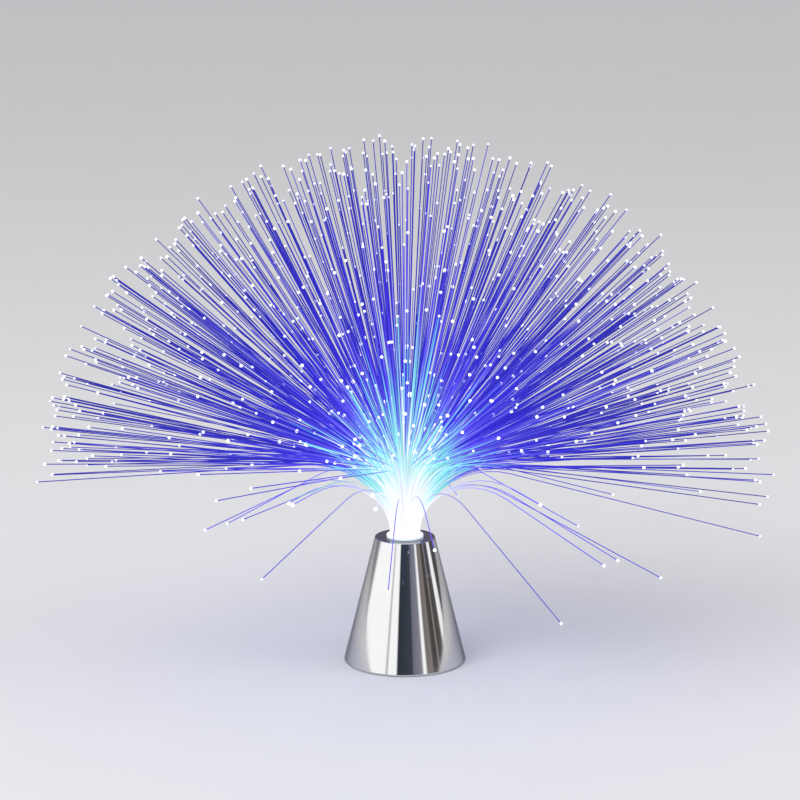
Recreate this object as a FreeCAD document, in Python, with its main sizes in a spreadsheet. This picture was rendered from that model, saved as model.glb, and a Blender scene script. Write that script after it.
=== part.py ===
import FreeCAD, Part
import math
import os
import re
import Sketcher

# Fiber optic lamp: a chrome cone that holds three cells, three lights and a bound bundle of fibres.
# Millimetres. The origin is the middle of the cone's lower rim, +Z is up and the front faces -Y.

V = FreeCAD.Vector
doc = FreeCAD.newDocument("fiber_optic_lamp")


# ---- sizes ----

SIZES = {
    "base_radius": 38.4,  # the cone's outside at the table
    "top_radius": 18.7,  # and at its flat top
    "base_height": 80,
    "shell_wall": 2.0,  # measured level
    "top_thickness": 2.0,
    "rim_rounding": 1.2,
    "top_rounding": 0.7,
    "boss_turn": 57.7,  # degrees from the X axis to a screw boss
    "boss_sink": 1.3,  # how far a boss runs into the wall at its top
    "boss_radius": 2.8,
    "boss_height": 18.2,
    "screw_radius": 1.1,
    "screw_length": 11,
    "screw_head_radius": 2.2,
    "screw_head_height": 1.4,
    "pilot_clearance": 0.1,  # shank to the hole that it holds in
    "screw_clearance": 0.3,  # shank to the hole that it passes through
    "plate_bottom": 2.0,  # how far the plate is let in
    "plate_thickness": 2.8,
    "plate_clearance": 0.3,
    "cell_diameter": 10.5,
    "cell_length": 43.5,
    "nub_radius": 1.9,
    "nub_length": 1.0,
    "cell_gap": 0.3,
    "cell_clearance": 0.35,
    "bay_wall": 1.4,
    "bay_corner": 4.0,
    "contact_size": 9.0,
    "contact_thickness": 0.4,
    "spring_depth": 3.7,  # wall to the flat end of a cell
    "pip_depth": 2.8,  # wall to the nub of a cell
    "pip_radius": 2.0,
    "tag_width": 2.4,
    "tag_reach": 1.3,  # past the outside of the bay
    "tag_clearance": 0.15,
    "door_thickness": 1.6,
    "door_clearance": 0.3,  # to the ledge above it
    "door_gap": 0.25,  # all round its edge
    "ledge_width": 0.7,
    "barrel_radius": 1.6,
    "barrel_length": 20,
    "barrel_gap": 0.35,
    "hinge_offset": 0.7,  # from the bay's wall to the barrel
    "pin_radius": 0.9,
    "pin_length": 2.0,
    "pin_clearance": 0.1,
    "lug_width": 3.2,
    "lug_rise": 1.0,
    "tab_width": 7.2,
    "tab_margin": 3.2,
    "grip_width": 0.8,
    "grip_depth": 0.4,
    "door_boss_radius": 3.0,
    "door_boss_height": 5.0,
    "door_boss_inset": 0.3,  # how far it runs into the bay's wall
    "door_screw_radius": 1.0,
    "door_screw_length": 5.2,
    "door_screw_swing": 0.5,
    "door_screw_head": 2.6,
    "switch_place": 25.5,  # behind the middle
    "frame_length": 20,
    "frame_width": 5.6,
    "frame_thickness": 0.5,
    "frame_screw_spacing": 16,
    "switch_length": 11,
    "switch_height": 5.0,
    "knob_length": 3.6,
    "knob_width": 2.2,
    "knob_drop": 1.1,
    "slide_travel": 2.5,
    "slide_clearance": 0.3,
    "foot_length": 6.0,
    "foot_width": 3.4,
    "foot_height": 1.8,
    "terminal_spacing": 3.0,
    "terminal_width": 0.9,
    "terminal_length": 3.0,
    "small_screw_radius": 0.8,
    "small_screw_length": 2.2,
    "small_head_radius": 1.6,
    "small_head_height": 1.0,
    "board_height": 26,
    "board_thickness": 1.6,
    "board_radius": 23,
    "post_spacing": 37,
    "post_radius": 2.6,
    "post_screw_depth": 8.5,
    "cup_wall": 1.4,
    "cup_floor": 1.8,
    "cup_height": 22.4,
    "ear_width": 6.0,
    "ear_margin": 3.0,
    "fit_clearance": 0.1,
    "hole_clearance": 0.2,
    "sleeve_wall": 0.9,
    "sleeve_seat": 6.0,  # how far the sleeve stands into the cup
    "collar_width": 1.0,
    "collar_height": 1.5,
    "led_radius": 2.5,
    "led_height": 8.6,
    "led_flange_radius": 2.9,
    "led_flange_height": 1.0,
    "led_circle": 5.5,
    "led_floor_hole": 2.2,
    "lead_spacing": 2.54,
    "lead_width": 0.5,
    "lead_hole_radius": 0.5,
    "lead_tail": 1.2,
    "chip_length": 5.0,
    "chip_width": 4.0,
    "chip_height": 1.4,
    "chip_rise": 0.2,
    "chip_leg": 1.0,
    "chip_place": 17,
    "resistor_length": 3.2,
    "resistor_width": 1.6,
    "resistor_height": 0.6,
    "resistor_spacing": 4.5,
    "resistor_place": 17,
    "wire_diameter": 1.2,
    "wire_bend": 2.4,
    "red_solder_x": 6,  # where the wires meet the board
    "red_solder_y": 18,
    "black_solder_x": 8,
    "black_solder_y": 17,
    "fibre_diameter": 0.5,
    "fibre_pitch": 0.525,
    "bundle_radius": 9.25,  # to the middle of the outermost fibres
    "fibre_inset": 2.0,  # sleeve's lower end to the fibres' lower ends
    "fibre_length": 250,  # the longest, from the collar up
    "side_cut": 3,  # how much shorter the sideways ones are
    "widest_lean": 98,  # degrees from upright at the bundle's edge
    "front_lift": 0.24,  # share by which the front and back ones lean less
    "side_gather": 0.22,  # how far they gather towards the two sides, radians
    "loose_share": 0.12,  # share of the outermost ones that hang loose
    "loose_lean": 26,  # degrees more that the loosest one leans
    "early_turn": 0.4,  # share of the lean that the early bend makes
    "fibre_step": 2,  # one fibre in so many has a solid
    "section_sides": 6,
    "early_bend": 26,
    "late_bend": 52,
}

sheet = doc.addObject("Spreadsheet::Sheet", "sizes")
for row, (alias, number) in enumerate(SIZES.items(), start=1):
    sheet.set(f"A{row}", alias.replace("_", " "))
    sheet.set(f"B{row}", str(number))
    sheet.setAlias(f"B{row}", alias)
doc.recompute()


def bind(thing, prop, text):
    """Ties a property to a formula over the sheet's sizes."""
    thing.setExpression(prop, re.sub(r"[a-z]+(?:_[a-z]+)+", r"sizes.\g<0>", text))


def value(text):
    """What a formula comes to now."""
    return float(sheet.evalExpression(text))


# ---- places that several pieces share, as formulas ----

def inside_radius(height):
    """The cone's inside at a height."""
    return f"(base_radius - shell_wall - (base_radius - top_radius) / base_height * ({height}))"


PLATE_TOP = "(plate_bottom + plate_thickness)"
DOOR_TOP = "(plate_bottom + door_thickness)"
LEDGE = f"({DOOR_TOP} + door_clearance)"
CELL_PITCH = "(cell_diameter + cell_gap)"
CELL_Z = f"({DOOR_TOP} + cell_clearance + cell_diameter / 2)"
ROOF_UNDER = f"({CELL_Z} + cell_diameter / 2 + cell_clearance)"
ROOF_TOP = f"({ROOF_UNDER} + bay_wall)"
BAY_X = "((spring_depth + cell_length + nub_length + pip_depth) / 2)"
BAY_Y = f"({CELL_PITCH} + cell_diameter / 2 + cell_clearance)"
HINGE_X = f"(-({BAY_X} + bay_wall + hinge_offset + barrel_radius))"
HINGE_Z = "(plate_bottom + barrel_radius)"
SCREW_X = f"({BAY_X} + bay_wall - door_boss_inset + door_boss_radius)"
BOARD_TOP = "(board_height + board_thickness)"
CUP_FLOOR_TOP = f"({BOARD_TOP} + cup_floor)"
CUP_TOP = f"({BOARD_TOP} + cup_height)"
SLEEVE_BOTTOM = f"({CUP_TOP} - sleeve_seat)"
FIBRE_BOTTOM = f"({SLEEVE_BOTTOM} + fibre_inset)"
SLEEVE_INSIDE = "(bundle_radius + fibre_diameter / 2 + fit_clearance)"
SLEEVE_OUTSIDE = f"({SLEEVE_INSIDE} + sleeve_wall)"
COLLAR_RADIUS = f"({SLEEVE_OUTSIDE} + collar_width)"
FRAME_TOP = f"({PLATE_TOP} + frame_thickness)"
FOOT_BOTTOM = f"({FRAME_TOP} + slide_clearance)"
SWITCH_TOP = f"({FRAME_TOP} + switch_height)"
LEFT_RIGHT = (-1, 1)


# ---- helpers for moulded pieces: bodies with sketches ----

nodes = []


def node(thing, label):
    """Names a finished piece, or group of like pieces, and keeps it for the hand-over."""
    thing.Label = label
    nodes.append(thing)
    return thing


def new_body(label):
    return node(doc.addObject("PartDesign::Body", label), label)


def datum(body, role):
    return next(f for f in body.Origin.OriginFeatures if f.Role == role)


def new_sketch(body, name, plane="XY_Plane", offset="0"):
    sketch = body.newObject("Sketcher::SketchObject", name)
    sketch.AttachmentSupport = [(datum(body, plane), "")]
    sketch.MapMode = "FlatFace"
    bind(sketch, "AttachmentOffset.Base.z", offset)
    return sketch


def hold(sketch, kind, pieces, text):
    """Adds one driving measure to a sketch and ties it to a formula."""
    number = sketch.addConstraint(Sketcher.Constraint(kind, *pieces, value(text)))
    name = f"m{number}"
    sketch.renameConstraint(number, name)
    bind(sketch, f"Constraints.{name}", text)


def outline(sketch, points):
    """A closed outline of straight lines through points given as pairs of formulas."""
    places = [V(value(x), value(y), 0) for x, y in points]
    first = sketch.GeometryCount
    count = len(points)
    for i in range(count):
        sketch.addGeometry(Part.LineSegment(places[i], places[(i + 1) % count]))
    for i, (x, y) in enumerate(points):
        sketch.addConstraint(Sketcher.Constraint("Coincident", first + i, 2, first + (i + 1) % count, 1))
        hold(sketch, "DistanceX", (-1, 1, first + i, 1), x)
        hold(sketch, "DistanceY", (-1, 1, first + i, 1), y)


def rectangle(sketch, x_low, y_low, x_high, y_high):
    outline(sketch, [(x_low, y_low), (x_high, y_low), (x_high, y_high), (x_low, y_high)])


def circle(sketch, x, y, radius):
    number = sketch.addGeometry(Part.Circle(V(value(x), value(y), 0), V(0, 0, 1), value(radius)))
    hold(sketch, "DistanceX", (-1, 1, number, 3), x)
    hold(sketch, "DistanceY", (-1, 1, number, 3), y)
    hold(sketch, "Radius", (number,), radius)


def settle(feature):
    """Works a new feature out, and stops if it failed."""
    doc.recompute()
    if "Invalid" in feature.State:
        raise RuntimeError(f"{feature.Name}: {feature.getStatusString()}")
    return feature


def pad(body, name, sketch, length, symmetric=False):
    feature = body.newObject("PartDesign::Pad", name)
    feature.Profile = sketch
    feature.SideType = "Symmetric" if symmetric else "One side"
    bind(feature, "Length", length)
    return settle(feature)


def pocket(body, name, sketch, length, upward=False, symmetric=False):
    """Cuts, and makes sure that something was cut."""
    before = body.Shape.Volume
    feature = body.newObject("PartDesign::Pocket", name)
    feature.Profile = sketch
    feature.SideType = "Symmetric" if symmetric else "One side"
    feature.Reversed = upward
    bind(feature, "Length", length)
    settle(feature)
    if not body.Shape.Volume < before:
        raise RuntimeError(f"{name} cuts nothing from {body.Label}")
    return feature


def revolve(body, name, points):
    """Turns an outline, given as radius and height, about the upright axis."""
    sketch = new_sketch(body, name + "_outline", "XZ_Plane")
    outline(sketch, points)
    feature = body.newObject("PartDesign::Revolution", name)
    feature.Profile = sketch
    feature.ReferenceAxis = (datum(body, "Z_Axis"), [""])
    feature.Angle = 360
    return settle(feature)


def round_edges(body, name, radius, wanted):
    """Rounds the edges of a body that a test picks out."""
    base = body.Tip
    picked = [f"Edge{i}" for i, edge in enumerate(base.Shape.Edges, start=1) if wanted(edge)]
    feature = body.newObject("PartDesign::Fillet", name)
    feature.Base = (base, picked)
    bind(feature, "Radius", radius)
    return settle(feature)


# ---- helpers for turned, punched and bought pieces: primitives and booleans ----

def primitive(kind, name, x, y, z, turn=None, **sizes):
    thing = doc.addObject("Part::" + kind, name)
    if turn:
        thing.Placement = FreeCAD.Placement(V(), FreeCAD.Rotation(*turn))
    for axis, text in zip("xyz", (x, y, z)):
        bind(thing, "Placement.Base." + axis, text)
    for prop, text in sizes.items():
        bind(thing, prop, text)
    return thing


def block(name, x, y, z, long, wide, high):
    """A box centred on x and y, standing on z."""
    return primitive("Box", name, f"({x}) - ({long}) / 2", f"({y}) - ({wide}) / 2", z,
                     Length=long, Width=wide, Height=high)


def rod(name, x, y, z, radius, high, turn=None):
    return primitive("Cylinder", name, x, y, z, turn, Radius=radius, Height=high)


def fuse(name, pieces):
    thing = doc.addObject("Part::MultiFuse", name)
    thing.Shapes = pieces
    return thing


def cut(name, base, tool):
    thing = doc.addObject("Part::Cut", name)
    thing.Base = base
    thing.Tool = tool
    return thing


def group(label, pieces):
    thing = doc.addObject("Part::Compound", label)
    thing.Links = pieces
    return node(thing, label)


BOSS_TOP = f"{PLATE_TOP} + boss_height"
BOSS_RING = f"({inside_radius(BOSS_TOP)} - boss_radius + boss_sink)"
BOSSES = [(f"{i} * {BOSS_RING} * cos(boss_turn)", f"{j} * {BOSS_RING} * sin(boss_turn)")
          for i in LEFT_RIGHT for j in LEFT_RIGHT]


# ---- base_shell: plated cone with a flat ring on top and four screw bosses inside ----

shell = new_body("base_shell")
revolve(shell, "cone", [
    ("base_radius - shell_wall", "0"),
    ("base_radius", "0"),
    ("top_radius", "base_height"),
    (f"{SLEEVE_OUTSIDE} + hole_clearance", "base_height"),
    (f"{SLEEVE_OUTSIDE} + hole_clearance", "base_height - top_thickness"),
    (inside_radius("base_height - top_thickness"), "base_height - top_thickness"),
])


def is_ring(edge, radius, height):
    return (edge.Curve.TypeId == "Part::GeomCircle" and abs(edge.Curve.Radius - value(radius)) < 0.01
            and abs(edge.Curve.Center.z - value(height)) < 0.01)


round_edges(shell, "rim", "rim_rounding", lambda edge: is_ring(edge, "base_radius", "0"))
round_edges(shell, "brow", "top_rounding", lambda edge: is_ring(edge, "top_radius", "base_height"))
boss_sketch = new_sketch(shell, "boss_outline", offset=PLATE_TOP)
pilot_sketch = new_sketch(shell, "boss_hole_outline", offset=PLATE_TOP)
for x, y in BOSSES:
    circle(boss_sketch, x, y, "boss_radius")
    circle(pilot_sketch, x, y, "screw_radius + pilot_clearance")
pad(shell, "bosses", boss_sketch, "boss_height")
pocket(shell, "boss_holes", pilot_sketch, "screw_length", upward=True)


# ---- bottom_plate: disc with the battery bay, hinge lugs, door boss and board posts ----

plate = new_body("bottom_plate")
bay = new_sketch(plate, "bay_outline", offset="plate_bottom")
rectangle(bay, f"-({BAY_X} + bay_wall)", f"-({BAY_Y} + bay_wall)", f"{BAY_X} + bay_wall", f"{BAY_Y} + bay_wall")
pad(plate, "bay", bay, f"{ROOF_TOP} - plate_bottom")


def is_bay_corner(edge):
    ends = [vertex.Point for vertex in edge.Vertexes]
    return (len(ends) == 2 and abs(ends[0].x - ends[1].x) < 0.01 and abs(ends[0].y - ends[1].y) < 0.01
            and abs(abs(ends[0].x) - value(f"{BAY_X} + bay_wall")) < 0.01)


round_edges(plate, "bay_corners", "bay_corner", is_bay_corner)
disc = new_sketch(plate, "disc_outline", offset="plate_bottom")
circle(disc, "0", "0", f"{inside_radius(PLATE_TOP)} - plate_clearance")
pad(plate, "disc", disc, "plate_thickness")

lugs = new_sketch(plate, "lug_outline", offset=PLATE_TOP)
for side in LEFT_RIGHT:
    near = f"{side} * (barrel_length / 2 + door_clearance)"
    far = f"{side} * (barrel_length / 2 + door_clearance + lug_width)"
    rectangle(lugs, f"{HINGE_X} - 2 * (pin_radius + pin_clearance)", near,
              f"-({BAY_X} + bay_wall / 2)", far)
pad(plate, "lugs", lugs, "lug_rise")

door_boss = new_sketch(plate, "door_boss_outline", offset=PLATE_TOP)
circle(door_boss, SCREW_X, "0", "door_boss_radius")
pad(plate, "door_boss", door_boss, "door_boss_height")

posts = new_sketch(plate, "post_outline", offset=ROOF_TOP)
for side in LEFT_RIGHT:
    circle(posts, f"{side} * post_spacing / 2", "0", "post_radius")
pad(plate, "posts", posts, f"board_height - {ROOF_TOP}")

hollow = new_sketch(plate, "hollow_outline", offset="plate_bottom")
rectangle(hollow, f"-{BAY_X}", f"-{BAY_Y}", BAY_X, BAY_Y)
pocket(plate, "hollow", hollow, f"{ROOF_UNDER} - plate_bottom", upward=True)


HINGE_REACH = "(bay_wall + hinge_offset + barrel_radius)"
EDGE_SWING = f"({HINGE_REACH} - sqrt({HINGE_REACH} ^ 2 - barrel_radius ^ 2))"


def door_shape(gap):
    """The door's outline, or the rebate's: a plate with a tongue for the hinge and a tab for the screw."""
    wide = f"({BAY_Y} + ledge_width - ({gap}))"
    start = f"(-({BAY_X} + ({EDGE_SWING} + door_gap) * (1 - ({gap}) / door_gap)))"
    end = f"({BAY_X} + ledge_width - ({gap}))"
    tongue = f"(barrel_length / 2 + door_clearance * (1 - ({gap}) / door_gap))"
    tab = f"(tab_width / 2 + door_gap - ({gap}))"
    tab_end = f"({SCREW_X} + tab_margin + door_gap - ({gap}))"
    hinge = f"({HINGE_X} + barrel_radius / 3)"
    upper = [(hinge, tongue), (start, tongue), (start, wide), (end, wide), (end, tab), (tab_end, tab)]
    return upper + [(x, f"-{y}") for x, y in reversed(upper)]


rebate = new_sketch(plate, "rebate_outline", offset="plate_bottom")
outline(rebate, door_shape("0"))
pocket(plate, "rebate", rebate, f"{LEDGE} - plate_bottom", upward=True)

slot = new_sketch(plate, "barrel_slot_outline", offset="plate_bottom")
rectangle(slot, f"{HINGE_X} - barrel_radius - barrel_gap", "-(barrel_length / 2 + door_clearance)",
          f"{HINGE_X} + barrel_radius + barrel_gap", "barrel_length / 2 + door_clearance")
pocket(plate, "barrel_slot", slot, "plate_thickness", upward=True)

sockets = new_sketch(plate, "socket_outline", "XZ_Plane")
circle(sockets, HINGE_X, HINGE_Z, "pin_radius + pin_clearance")
pocket(plate, "sockets", sockets, "barrel_length + 2 * pin_length + 2 * door_clearance", symmetric=True)

door_hole = new_sketch(plate, "door_hole_outline", offset="plate_bottom")
circle(door_hole, SCREW_X, "0", "door_screw_radius + door_screw_swing")
pocket(plate, "door_hole", door_hole, "door_screw_length + door_screw_swing", upward=True)

through = new_sketch(plate, "through_outline", offset="plate_bottom")
for x, y in BOSSES:
    circle(through, x, y, "screw_radius + screw_clearance")
SLOT_X = "(knob_length / 2 + slide_travel / 2 + slide_clearance)"
SLOT_Y = "(knob_width / 2 + slide_clearance)"
rectangle(through, f"-{SLOT_X}", f"switch_place - {SLOT_Y}", SLOT_X, f"switch_place + {SLOT_Y}")
pocket(plate, "through_holes", through, "plate_thickness", upward=True)

ear_holes = new_sketch(plate, "ear_hole_outline", offset=PLATE_TOP)
for side in LEFT_RIGHT:
    circle(ear_holes, f"{side} * frame_screw_spacing / 2", "switch_place", "small_screw_radius + pilot_clearance")
pocket(plate, "ear_holes", ear_holes, "small_screw_length - frame_thickness + pilot_clearance")

post_holes = new_sketch(plate, "post_hole_outline", offset="board_height")
for side in LEFT_RIGHT:
    circle(post_holes, f"{side} * post_spacing / 2", "0", "screw_radius + pilot_clearance")
pocket(plate, "post_holes", post_holes, "post_screw_depth")

TAG_Z = f"({CELL_Z} + contact_size / 2 - contact_thickness)"
for end, name in ((-1, "negative"), (1, "positive")):
    tag_slot = new_sketch(plate, name + "_tag_outline", "YZ_Plane", f"{end} * ({BAY_X} + bay_wall / 2)")
    middle = f"({end} * {CELL_PITCH})"
    rectangle(tag_slot, f"{middle} - tag_width / 2 - tag_clearance", f"{TAG_Z} - tag_clearance",
              f"{middle} + tag_width / 2 + tag_clearance", f"{TAG_Z} + contact_thickness + tag_clearance")
    pocket(plate, name + "_tag_slot", tag_slot, "2 * bay_wall", symmetric=True)


# ---- plate_screws: pan heads below, shanks up into the shell's bosses ----

def pan_screw(name, x, y, seat, radius, length, head_radius, head_height, up):
    """A screw whose head bears on a seat, with its shank going up or down from there."""
    shank_z = seat if up else f"({seat}) - ({length})"
    head_z = f"({seat}) - ({head_height})" if up else seat
    face_z = head_z if up else f"({seat}) + ({head_height}) / 2"
    shank = rod(name + "_shank", x, y, shank_z, radius, length)
    head = rod(name + "_head", x, y, head_z, head_radius, head_height)
    arms = [block(name + "_cross", x, y, face_z, long, wide, f"({head_height}) / 2")
            for long, wide in ((f"1.2 * ({head_radius})", f"({head_radius}) / 4"),
                               (f"({head_radius}) / 4", f"1.2 * ({head_radius})"))]
    return cut(name, fuse(name + "_blank", [shank, head]), fuse(name + "_recess", arms))


group("plate_screws", [
    pan_screw(f"plate_screw_{i}", x, y, "plate_bottom", "screw_radius",
              "plate_thickness + screw_length - screw_clearance", "screw_head_radius", "screw_head_height", up=True)
    for i, (x, y) in enumerate(BOSSES, start=1)
])


# ---- battery_door: swings down on two pivot pins, held shut by its screw ----

door = new_body("battery_door")
leaf = new_sketch(door, "leaf_outline", offset="plate_bottom")
outline(leaf, door_shape("door_gap"))
pad(door, "leaf", leaf, "door_thickness")
for name, radius, length in (("barrel", "barrel_radius", "barrel_length"),
                             ("pins", "pin_radius", "barrel_length + 2 * pin_length")):
    ring = new_sketch(door, name + "_outline", "XZ_Plane")
    circle(ring, HINGE_X, HINGE_Z, radius)
    pad(door, name, ring, length, symmetric=True)
hole = new_sketch(door, "screw_hole_outline", offset="plate_bottom")
circle(hole, SCREW_X, "0", "door_screw_radius + pilot_clearance")
pocket(door, "screw_hole", hole, "door_thickness", upward=True)
grips = new_sketch(door, "grip_outline", offset="plate_bottom")
for i in range(3):
    place = f"({BAY_X} - {2 + 2 * i} * grip_width)"
    rectangle(grips, f"{place} - grip_width", f"-{CELL_PITCH}", place, CELL_PITCH)
pocket(door, "grips", grips, "grip_depth", upward=True)

node(pan_screw("captive_screw", SCREW_X, "0", "plate_bottom", "door_screw_radius", "door_screw_length",
               "door_screw_head", "screw_head_height", up=True), "door_screw")


# ---- battery_cells: three in a row, the middle one turned round ----

def cell(name, place, way):
    """A cell along X whose nub points the given way."""
    turn = (V(0, 1, 0), 90 * way)
    flat_end = f"{way} * (spring_depth - {BAY_X})"
    can = rod(name + "_can", flat_end, place, CELL_Z, "cell_diameter / 2", "cell_length", turn)
    nub = rod(name + "_nub", f"{flat_end} + {way} * cell_length", place, CELL_Z, "nub_radius", "nub_length", turn)
    return fuse(name, [can, nub])


CELLS = [(-1, 1), (0, -1), (1, 1)]
group("battery_cells", [
    cell(f"cell_{row + 2}", f"{row} * {CELL_PITCH}", way) for row, way in CELLS
])


# ---- contacts: a sprung leaf at each flat end and a pip at each nub, linked in series ----

def contact_plate(name, end, row_low, row_high):
    """Flat plate against the bay's end wall, from one row of cells to another."""
    return block(name, f"{end} * ({BAY_X} - contact_thickness / 2)",
                 f"({row_low} + {row_high}) / 2 * {CELL_PITCH}", f"{CELL_Z} - contact_size / 2",
                 "contact_thickness", f"contact_size + ({row_high} - {row_low}) * {CELL_PITCH}", "contact_size")


def pip(name, end, row):
    start = f"{end} * ({BAY_X} - pip_depth)"
    return rod(name, start, f"{row} * {CELL_PITCH}", CELL_Z, "pip_radius", "pip_depth", (V(0, 1, 0), 90 * end))


def leaf_spring(name, end, row):
    """Bent strip from the foot of the plate out to the cell and back."""
    base = doc.addObject("Part::Feature", name)
    depth = value("spring_depth")
    half = value("contact_size") / 2
    thick = value("contact_thickness")
    profile = [(0, -half), (depth / 5, -half), (depth, -half / 10), (depth, half / 10), (depth / 3, half * 0.8),
               (depth / 3 - thick, half * 0.8), (depth - thick, 0), (thick, -half + 2 * thick), (0, -half + 2 * thick)]
    wall = end * value(BAY_X)
    width = value("contact_size") * 0.6
    side = value(f"{row} * {CELL_PITCH}") - width / 2
    points = [V(wall - end * x, side, value(CELL_Z) + z) for x, z in profile]
    base.Shape = Part.Face(Part.makePolygon(points + points[:1])).extrude(V(0, width, 0))
    return base


def tag(name, end, row):
    reach = "(contact_thickness + bay_wall + tag_reach)"
    return block(name, f"{end} * ({BAY_X} - contact_thickness + {reach} / 2)", f"{row} * {CELL_PITCH}", TAG_Z,
                 reach, "tag_width", "contact_thickness")


node(fuse("minus_contact", [contact_plate("minus_plate", -1, -1, -1), leaf_spring("minus_leaf", -1, -1),
                            tag("minus_tag", -1, -1)]), "negative_contact")
node(fuse("plus_contact", [contact_plate("plus_plate", 1, 1, 1), pip("plus_pip", 1, 1),
                           tag("plus_tag", 1, 1)]), "positive_contact")
group("link_contacts", [
    fuse("front_link", [contact_plate("front_link_plate", 1, -1, 0), pip("front_link_pip", 1, -1),
                        leaf_spring("front_link_leaf", 1, 0)]),
    fuse("back_link", [contact_plate("back_link_plate", -1, 0, 1), pip("back_link_pip", -1, 0),
                       leaf_spring("back_link_leaf", -1, 1)]),
])


# ---- slide switch: steel frame and case, knob on a foot, three pins, two screws ----

frame = block("switch_frame", "0", "switch_place", PLATE_TOP, "frame_length", "frame_width", "frame_thickness")
case = block("switch_case", "0", "switch_place", FRAME_TOP, "switch_length", "frame_width", "switch_height")
room = block("switch_room", "0", "switch_place", FRAME_TOP, "foot_length + slide_travel + 2 * slide_clearance",
             "foot_width + 2 * slide_clearance", "foot_height + 2 * slide_clearance")
window = block("switch_window", "0", "switch_place", PLATE_TOP, f"2 * {SLOT_X}", f"2 * {SLOT_Y}",
               "frame_thickness")
ears = [rod("ear_hole", f"{side} * frame_screw_spacing / 2", "switch_place", PLATE_TOP,
            "small_screw_radius + pilot_clearance", "frame_thickness") for side in LEFT_RIGHT]
node(cut("slide_switch", fuse("switch_blank", [frame, case]), fuse("switch_cuts", [room, window] + ears)),
     "switch_body")

KNOB_X = "slide_travel / 2"
knob = block("knob", KNOB_X, "switch_place", "plate_bottom - knob_drop", "knob_length", "knob_width",
             f"{FOOT_BOTTOM} - plate_bottom + knob_drop")
foot = block("knob_foot", KNOB_X, "switch_place", FOOT_BOTTOM, "foot_length", "foot_width", "foot_height")
node(fuse("slide_knob", [knob, foot]), "switch_slider")

group("switch_terminals", [
    block(f"terminal_{i + 2}", f"{i} * terminal_spacing", "switch_place", SWITCH_TOP,
          "contact_thickness", "terminal_width", "terminal_length") for i in (-1, 0, 1)
])
group("switch_screws", [
    pan_screw(f"ear_screw_{i}", f"{side} * frame_screw_spacing / 2", "switch_place", FRAME_TOP,
              "small_screw_radius", "small_screw_length", "small_head_radius", "small_head_height", up=False)
    for i, side in enumerate(LEFT_RIGHT, start=1)
])


# ---- circuit_board: round, on the two posts ----

LED_TURNS = (90, 210, 330)


def lead_places():
    """Two leads for each light, side by side across its radius."""
    for turn in LED_TURNS:
        for side in LEFT_RIGHT:
            along = f"led_circle * cos({turn}) - {side} * lead_spacing / 2 * sin({turn})"
            across = f"led_circle * sin({turn}) + {side} * lead_spacing / 2 * cos({turn})"
            yield along, across


board = new_body("circuit_board")
blank = new_sketch(board, "board_outline", offset="board_height")
circle(blank, "0", "0", "board_radius")
pad(board, "blank", blank, "board_thickness")
drill = new_sketch(board, "drill_outline", offset="board_height")
for x, y in lead_places():
    circle(drill, x, y, "lead_hole_radius")
for side in LEFT_RIGHT:
    circle(drill, f"{side} * post_spacing / 2", "0", "screw_radius + screw_clearance")
pocket(board, "drilled", drill, "board_thickness", upward=True)

group("board_screws", [
    pan_screw(f"board_screw_{i}", f"{side} * post_spacing / 2", "0", CUP_FLOOR_TOP, "screw_radius",
              "cup_floor + board_thickness + post_screw_depth - screw_clearance", "screw_head_radius",
              "screw_head_height", up=False)
    for i, side in enumerate(LEFT_RIGHT, start=1)
])

chip_body = block("chip_body", "0", "-chip_place", f"{BOARD_TOP} + chip_rise", "chip_length", "chip_width",
                  "chip_height")
legs = [block("chip_leg", f"{i} * chip_length / 5", f"-chip_place + {side} * (chip_width + chip_leg) / 2",
              BOARD_TOP, "chip_length / 12", "chip_leg * 1.2", "chip_height / 2")
        for i in (-1.5, -0.5, 0.5, 1.5) for side in LEFT_RIGHT]
node(fuse("chip", [chip_body] + legs), "control_chip")
group("resistors", [
    block(f"resistor_{i + 2}", f"{i} * resistor_spacing", "resistor_place", BOARD_TOP,
          "resistor_length", "resistor_width", "resistor_height") for i in (-1, 0, 1)
])


# ---- three lights on the cup's floor, under the bundle ----

def light(colour, turn):
    """Clear moulded light: a flange, a straight body and a round dome."""
    x = f"led_circle * cos({turn})"
    y = f"led_circle * sin({turn})"
    flange = rod(colour + "_flange", x, y, CUP_FLOOR_TOP, "led_flange_radius", "led_flange_height")
    body = rod(colour + "_barrel", x, y, CUP_FLOOR_TOP, "led_radius", "led_height - led_radius")
    dome = primitive("Sphere", colour + "_dome", x, y, f"{CUP_FLOOR_TOP} + led_height - led_radius",
                     Radius="led_radius")
    dome.Angle1 = 0
    return node(fuse(colour + "_light", [flange, body, dome]), "led_" + colour)


for colour, turn in zip(("red", "green", "blue"), LED_TURNS):
    light(colour, turn)
group("led_leads", [
    block(f"lead_{i}", x, y, "board_height - lead_tail", "lead_width", "lead_width",
          f"{CUP_FLOOR_TOP} - board_height + lead_tail")
    for i, (x, y) in enumerate(lead_places(), start=1)
])


# ---- light_cup: white cup round the lights, its ears under the board screws ----

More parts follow.
